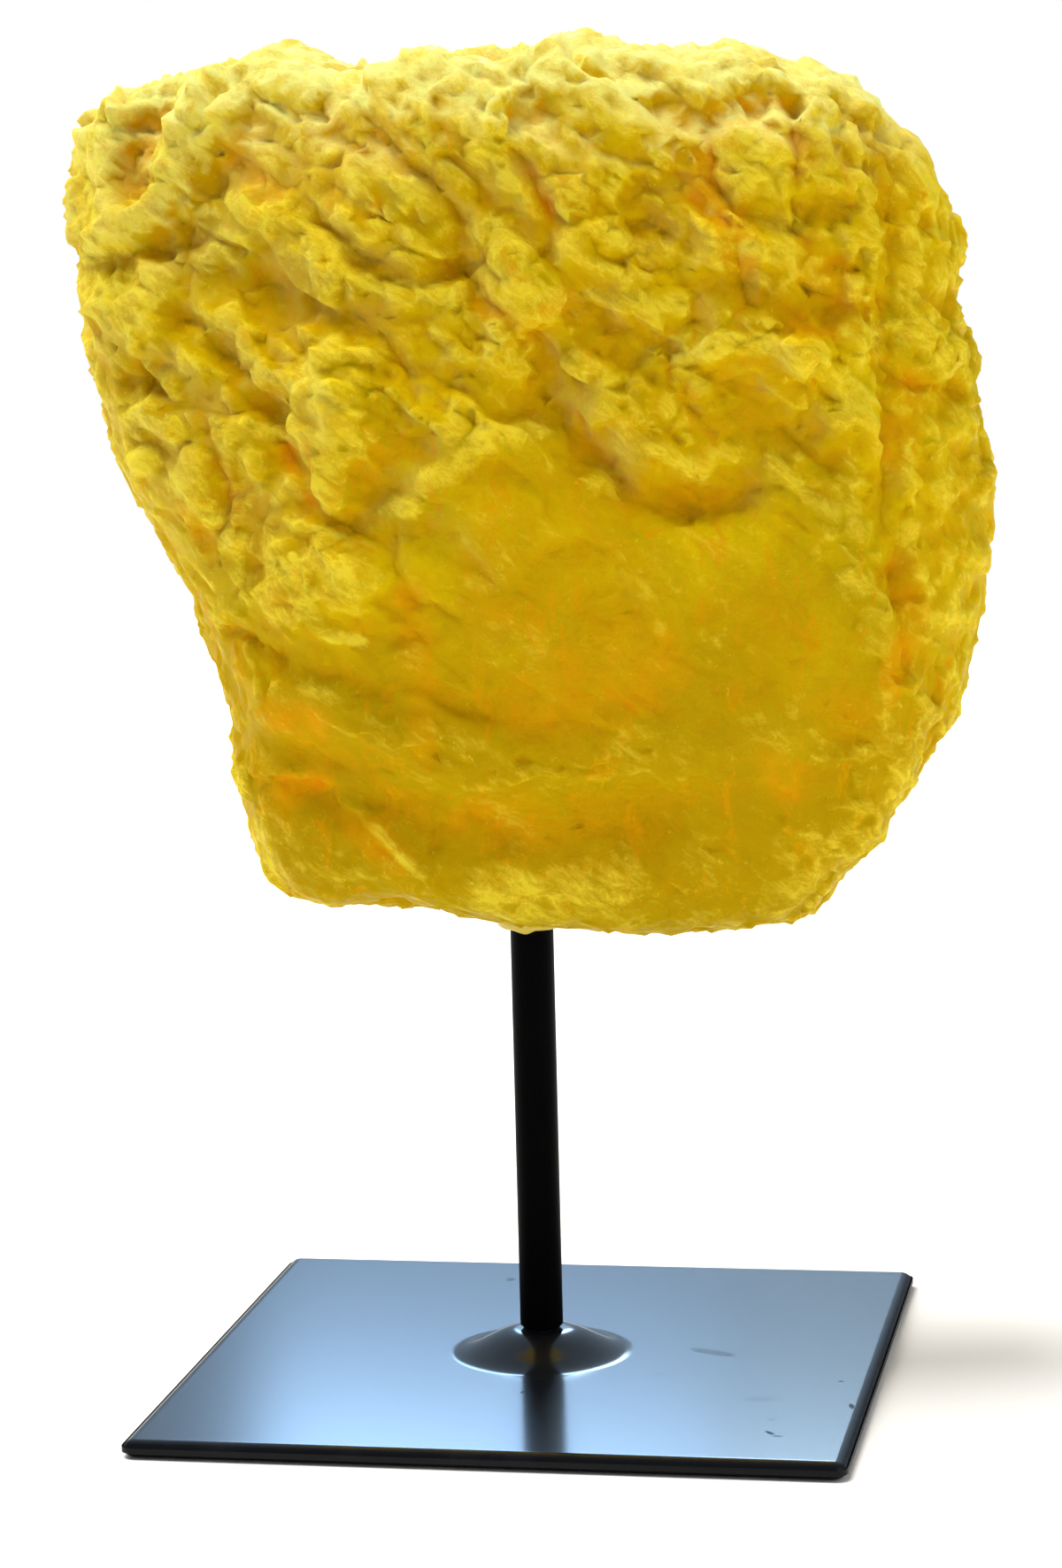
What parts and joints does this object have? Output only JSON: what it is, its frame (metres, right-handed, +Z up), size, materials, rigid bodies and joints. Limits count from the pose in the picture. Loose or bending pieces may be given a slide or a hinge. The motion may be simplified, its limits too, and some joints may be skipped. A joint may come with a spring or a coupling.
{
  "type": "native sulfur specimen on stand",
  "caption": "Rough yellow block of native sulfur held upright on a round black rod above a thin square black steel base plate with a pressed boss.",
  "frame": {"origin": "middle of the base plate's underside, on the rod's axis, at the surface it stands on", "axes": "+Z up along the rod, -Y towards the stone's front, X and Y along the plate's edges; the stone is turned 10.6 degrees about +Z on the rod"},
  "size_m": [0.1663, 0.127, 0.2444],
  "materials": {
    "black_powder_coat": "satin black powder coat on pressed steel sheet, smooth, soft reflections",
    "black_rod_coat": "satin black coat on round steel bar",
    "zinc_steel": "bright zinc plated",
    "native_sulfur": "waxy, slightly translucent lemon to amber yellow, rough broken crust with pale frosted ridges",
    "cured_epoxy": "cloudy cured adhesive with sulfur dust"
  },
  "bodies": {
    "root": {"base_plate": "black_powder_coat", "base_screw": "zinc_steel", "support_rod": "black_rod_coat", "sulfur_mass": "native_sulfur", "epoxy_bead": "cured_epoxy"}
  },
  "joints": []
}
